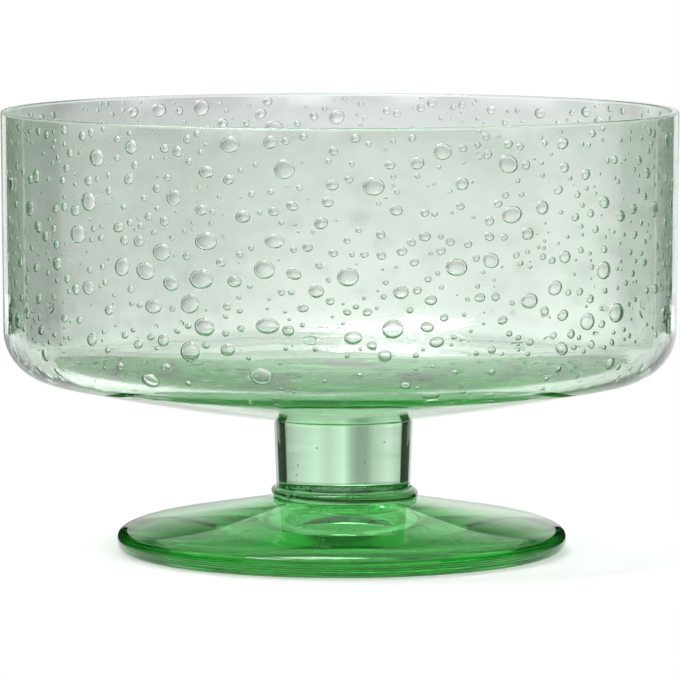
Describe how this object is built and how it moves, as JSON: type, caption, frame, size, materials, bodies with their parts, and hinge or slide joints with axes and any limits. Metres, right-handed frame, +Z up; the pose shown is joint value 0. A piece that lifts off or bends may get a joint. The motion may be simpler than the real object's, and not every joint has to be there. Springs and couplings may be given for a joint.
{
  "type": "dessert cup",
  "caption": "Low footed dessert cup of pale green blown bubble glass: wide cylindrical bowl on a short solid stem and a domed disc foot, for serving desserts and fruit.",
  "frame": {"origin": "centre of the foot's resting ring, on the surface that the cup stands on", "axes": "+Z up along the axis that every piece is turned about, X and Y level"},
  "size_m": [0.12, 0.12, 0.0785],
  "materials": {
    "bubble_glass": "clear pale green blown glass full of flattened air bubbles, fire-polished",
    "solid_glass": "clear green solid glass, fire-polished, deeper in tint where it is thick"
  },
  "bodies": {
    "root": {"bowl": "bubble_glass", "stem": "solid_glass", "joining_wafer": "solid_glass", "foot": "solid_glass"}
  },
  "joints": []
}
